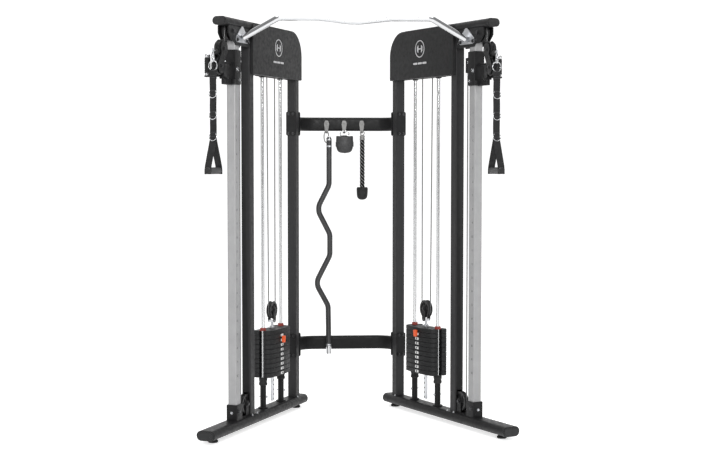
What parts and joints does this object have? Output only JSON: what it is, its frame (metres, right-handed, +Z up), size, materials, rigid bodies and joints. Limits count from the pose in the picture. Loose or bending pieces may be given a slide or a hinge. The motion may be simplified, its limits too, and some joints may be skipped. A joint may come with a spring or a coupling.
{
  "type": "functional trainer",
  "caption": "Two splayed weight-stack towers joined by crossbars and a pull-up bar, each with a sliding pulley carriage and a cable handle; accessories hang on the upper crossbar",
  "frame": {"origin": "on the floor, under the middle of the footprint", "axes": "+Z up, +X to the viewer's right across the machine, front of the machine towards -Y"},
  "size_m": [1.5958, 1.1244, 2.1189],
  "materials": {
    "frame": "satin powder coat",
    "silver": "satin silver powder coat",
    "chrome": "polished",
    "iron": "satin paint",
    "zinc": "zinc plated",
    "plastic": "moulded nylon",
    "orange": "moulded",
    "rubber": "matte",
    "cable": "nylon sheath over steel rope",
    "webbing": "woven nylon"
  },
  "bodies": {
    "frame": {"crossbar_upper": "frame", "crossbar_lower": "frame", "pull_up_bar": "chrome", "left_base_rail": "frame", "left_rear_upright": "frame", "left_front_upright": "frame", "left_guide_column": "silver", "left_top_rail": "frame", "left_shroud": "frame", "left_guide_rod_rear": "chrome", "left_guide_rod_front": "chrome", "left_weight_plates": "iron", "left_cable_main": "cable", "left_cable_rear": "cable", "right_base_rail": "frame", "right_rear_upright": "frame", "right_front_upright": "frame", "right_guide_column": "silver", "right_top_rail": "frame", "right_shroud": "frame", "right_guide_rod_rear": "chrome", "right_guide_rod_front": "chrome", "right_weight_plates": "iron", "right_cable_main": "cable", "right_cable_rear": "cable"},
    "left_stack": {"left_head_plate": "iron", "left_selector_stem": "zinc"},
    "left_pin": {"left_selector_pin": "orange"},
    "left_carriage": {"left_carriage": "frame"},
    "left_swivel": {"left_swivel_bracket": "frame", "left_cable_front": "cable"},
    "left_handle": {"left_handle": "webbing"},
    "left_pull_grip": {"left_pull_grip": "rubber"},
    "left_floating_pulley": {"left_floating_pulley": "plastic"},
    "left_front_pulley": {"left_front_pulley": "plastic"},
    "left_stack_pulley": {"left_stack_pulley": "plastic"},
    "left_lift_pulley": {"left_lift_pulley": "plastic"},
    "left_drop_pulley": {"left_drop_pulley": "plastic"},
    "left_base_pulley": {"left_base_pulley": "plastic"},
    "left_swivel_pulley_upper": {"left_swivel_pulley_upper": "plastic"},
    "left_swivel_pulley_lower": {"left_swivel_pulley_lower": "plastic"},
    "right_stack": {"right_head_plate": "iron", "right_selector_stem": "zinc"},
    "right_pin": {"right_selector_pin": "orange"},
    "right_carriage": {"right_carriage": "frame"},
    "right_swivel": {"right_swivel_bracket": "frame", "right_cable_front": "cable"},
    "right_handle": {"right_handle": "webbing"},
    "right_pull_grip": {"right_pull_grip": "rubber"},
    "right_floating_pulley": {"right_floating_pulley": "plastic"},
    "right_front_pulley": {"right_front_pulley": "plastic"},
    "right_stack_pulley": {"right_stack_pulley": "plastic"},
    "right_lift_pulley": {"right_lift_pulley": "plastic"},
    "right_drop_pulley": {"right_drop_pulley": "plastic"},
    "right_base_pulley": {"right_base_pulley": "plastic"},
    "right_swivel_pulley_upper": {"right_swivel_pulley_upper": "plastic"},
    "right_swivel_pulley_lower": {"right_swivel_pulley_lower": "plastic"},
    "curl_bar": {"curl_bar": "rubber"},
    "ankle_cuff": {"ankle_cuff": "webbing"},
    "tricep_rope": {"tricep_rope": "rubber"}
  },
  "joints": [
    {"name": "left_stack_slide", "type": "slide", "parent": "frame", "child": "left_stack", "axis": [0, 0, 1], "range_m": [0, 0.5], "deforming": ["left_cable_main"]},
    {"name": "left_pin_slide", "type": "slide", "parent": "left_stack", "child": "left_pin", "axis": [0.9063, -0.4226, 0], "range_m": [0, 0.08]},
    {"name": "left_carriage_slide", "type": "slide", "parent": "frame", "child": "left_carriage", "axis": [0, 0, -1], "range_m": [0, 1.2], "deforming": ["left_cable_front", "left_cable_rear"]},
    {"name": "left_swivel_turn", "type": "hinge", "parent": "left_carriage", "child": "left_swivel", "pos_m": [-0.65661, -0.33535, 1.83], "axis": [0, 0, 1], "range_deg": [-50, 50]},
    {"name": "left_handle_pull", "type": "slide", "parent": "left_swivel", "child": "left_handle", "axis": [-0.4226, -0.9063, 0], "range_m": [0, 1]},
    {"name": "left_grip_pull", "type": "slide", "parent": "left_carriage", "child": "left_pull_grip", "axis": [-0.9063, 0.4226, 0], "range_m": [0, 0.012], "stiffness_N_per_m": 1500},
    {"name": "left_floating_pulley_spin", "type": "hinge", "parent": "left_stack", "child": "left_floating_pulley", "pos_m": [-0.41825, 0.17581, 0.583], "axis": [0.9063, -0.4226, 0], "continuous": true},
    {"name": "left_front_pulley_spin", "type": "hinge", "parent": "frame", "child": "left_front_pulley", "pos_m": [-0.63928, -0.29819, 2.03], "axis": [0.9063, -0.4226, 0], "continuous": true},
    {"name": "left_stack_pulley_spin", "type": "hinge", "parent": "frame", "child": "left_stack_pulley", "pos_m": [-0.41825, 0.17581, 2.03], "axis": [0.9063, -0.4226, 0], "continuous": true},
    {"name": "left_lift_pulley_spin", "type": "hinge", "parent": "frame", "child": "left_lift_pulley", "pos_m": [-0.46115, 0.08382, 1.985], "axis": [0.9063, -0.4226, 0], "continuous": true},
    {"name": "left_drop_pulley_spin", "type": "hinge", "parent": "frame", "child": "left_drop_pulley", "pos_m": [-0.52771, -0.05893, 1.985], "axis": [0.9063, -0.4226, 0], "continuous": true},
    {"name": "left_base_pulley_spin", "type": "hinge", "parent": "frame", "child": "left_base_pulley", "pos_m": [-0.56532, -0.13959, 0.131], "axis": [0.9063, -0.4226, 0], "continuous": true},
    {"name": "left_swivel_pulley_upper_spin", "type": "hinge", "parent": "left_swivel", "child": "left_swivel_pulley_upper", "pos_m": [-0.67267, -0.36979, 1.938], "axis": [0.9063, -0.4226, 0], "continuous": true},
    {"name": "left_swivel_pulley_lower_spin", "type": "hinge", "parent": "left_swivel", "child": "left_swivel_pulley_lower", "pos_m": [-0.68619, -0.39879, 1.85], "axis": [0.9063, -0.4226, 0], "continuous": true},
    {"name": "right_stack_slide", "type": "slide", "parent": "frame", "child": "right_stack", "axis": [0, 0, 1], "range_m": [0, 0.5], "deforming": ["right_cable_main"]},
    {"name": "right_pin_slide", "type": "slide", "parent": "right_stack", "child": "right_pin", "axis": [-0.9063, -0.4226, 0], "range_m": [0, 0.08]},
    {"name": "right_carriage_slide", "type": "slide", "parent": "frame", "child": "right_carriage", "axis": [0, 0, -1], "range_m": [0, 1.2], "deforming": ["right_cable_front", "right_cable_rear"]},
    {"name": "right_swivel_turn", "type": "hinge", "parent": "right_carriage", "child": "right_swivel", "pos_m": [0.65661, -0.33535, 1.83], "axis": [0, 0, 1], "range_deg": [-50, 50]},
    {"name": "right_handle_pull", "type": "slide", "parent": "right_swivel", "child": "right_handle", "axis": [0.225, -0.9744, 0], "range_m": [0, 1]},
    {"name": "right_grip_pull", "type": "slide", "parent": "right_carriage", "child": "right_pull_grip", "axis": [0.9063, 0.4226, 0], "range_m": [0, 0.012], "stiffness_N_per_m": 1500},
    {"name": "right_floating_pulley_spin", "type": "hinge", "parent": "right_stack", "child": "right_floating_pulley", "pos_m": [0.41825, 0.17581, 0.583], "axis": [0.9063, 0.4226, 0], "continuous": true},
    {"name": "right_front_pulley_spin", "type": "hinge", "parent": "frame", "child": "right_front_pulley", "pos_m": [0.63928, -0.29819, 2.03], "axis": [0.9063, 0.4226, 0], "continuous": true},
    {"name": "right_stack_pulley_spin", "type": "hinge", "parent": "frame", "child": "right_stack_pulley", "pos_m": [0.41825, 0.17581, 2.03], "axis": [0.9063, 0.4226, 0], "continuous": true},
    {"name": "right_lift_pulley_spin", "type": "hinge", "parent": "frame", "child": "right_lift_pulley", "pos_m": [0.46115, 0.08382, 1.985], "axis": [0.9063, 0.4226, 0], "continuous": true},
    {"name": "right_drop_pulley_spin", "type": "hinge", "parent": "frame", "child": "right_drop_pulley", "pos_m": [0.52771, -0.05893, 1.985], "axis": [0.9063, 0.4226, 0], "continuous": true},
    {"name": "right_base_pulley_spin", "type": "hinge", "parent": "frame", "child": "right_base_pulley", "pos_m": [0.56532, -0.13959, 0.131], "axis": [0.9063, 0.4226, 0], "continuous": true},
    {"name": "right_swivel_pulley_upper_spin", "type": "hinge", "parent": "right_swivel", "child": "right_swivel_pulley_upper", "pos_m": [0.66516, -0.37238, 1.938], "axis": [0.9744, 0.225, 0], "continuous": true},
    {"name": "right_swivel_pulley_lower_spin", "type": "hinge", "parent": "right_swivel", "child": "right_swivel_pulley_lower", "pos_m": [0.67235, -0.40355, 1.85], "axis": [0.9744, 0.225, 0], "continuous": true},
    {"name": "curl_bar_swing", "type": "hinge", "parent": "frame", "child": "curl_bar", "pos_m": [-0.104, 0.48426, 1.555], "axis": [-1, 0, 0], "range_deg": [0, 35]},
    {"name": "ankle_cuff_swing", "type": "hinge", "parent": "frame", "child": "ankle_cuff", "pos_m": [-0.005, 0.48426, 1.555], "axis": [-1, 0, 0], "range_deg": [0, 35]},
    {"name": "tricep_rope_swing", "type": "hinge", "parent": "frame", "child": "tricep_rope", "pos_m": [0.094, 0.48426, 1.555], "axis": [-1, 0, 0], "range_deg": [0, 35]}
  ],
  "couplings": [
    {"joint": "left_handle_pull", "follows": "left_stack_slide", "ratio": 2},
    {"joint": "left_floating_pulley_spin", "follows": "left_stack_slide", "rad_per_m": 23.529},
    {"joint": "left_front_pulley_spin", "follows": "left_stack_slide", "rad_per_m": 47.059},
    {"joint": "left_stack_pulley_spin", "follows": "left_stack_slide", "rad_per_m": 47.059},
    {"joint": "left_lift_pulley_spin", "follows": "left_carriage_slide", "rad_per_m": -23.529},
    {"joint": "left_drop_pulley_spin", "follows": "left_carriage_slide", "rad_per_m": -23.529},
    {"joint": "left_base_pulley_spin", "follows": "left_carriage_slide", "rad_per_m": 21.505},
    {"joint": "left_swivel_pulley_upper_spin", "follows": "left_stack_slide", "rad_per_m": -52.632},
    {"joint": "right_handle_pull", "follows": "right_stack_slide", "ratio": 2},
    {"joint": "right_floating_pulley_spin", "follows": "right_stack_slide", "rad_per_m": 23.529},
    {"joint": "right_front_pulley_spin", "follows": "right_stack_slide", "rad_per_m": 47.059},
    {"joint": "right_stack_pulley_spin", "follows": "right_stack_slide", "rad_per_m": 47.059},
    {"joint": "right_lift_pulley_spin", "follows": "right_carriage_slide", "rad_per_m": -23.529},
    {"joint": "right_drop_pulley_spin", "follows": "right_carriage_slide", "rad_per_m": -23.529},
    {"joint": "right_base_pulley_spin", "follows": "right_carriage_slide", "rad_per_m": 21.505},
    {"joint": "right_swivel_pulley_upper_spin", "follows": "right_stack_slide", "rad_per_m": -52.632}
  ]
}
